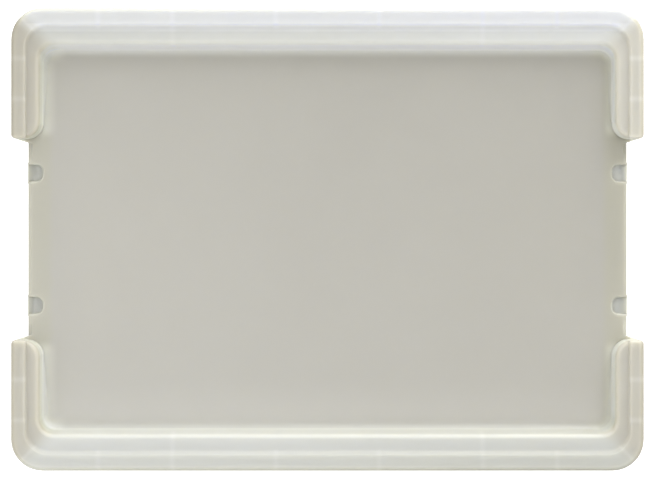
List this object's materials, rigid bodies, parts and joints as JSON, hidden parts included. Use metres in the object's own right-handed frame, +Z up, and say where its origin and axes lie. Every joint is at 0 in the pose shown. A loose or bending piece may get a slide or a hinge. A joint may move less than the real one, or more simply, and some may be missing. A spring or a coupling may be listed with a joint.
{
  "type": "stacking crate",
  "caption": "Milky plastic stacking crate with hand-holds and a drop-on lid whose raised two-tier rim locates the next crate and is notched at both ends.",
  "frame": {"origin": "middle of the base, on the surface that the crate stands on", "axes": "+X along the crate's length, +Y across it, +Z up"},
  "size_m": [0.41, 0.3, 0.2019],
  "materials": {
    "body_plastic": "natural polypropylene, milky, fine satin",
    "lid_plastic": "natural polypropylene, milky, fine satin"
  },
  "bodies": {
    "crate": {"crate_body": "body_plastic"},
    "lid": {"lid": "lid_plastic"}
  },
  "joints": [
    {"name": "lid_lift", "type": "slide", "parent": "crate", "child": "lid", "axis": [0, 0, 1], "range_m": [0, 0.25]}
  ]
}
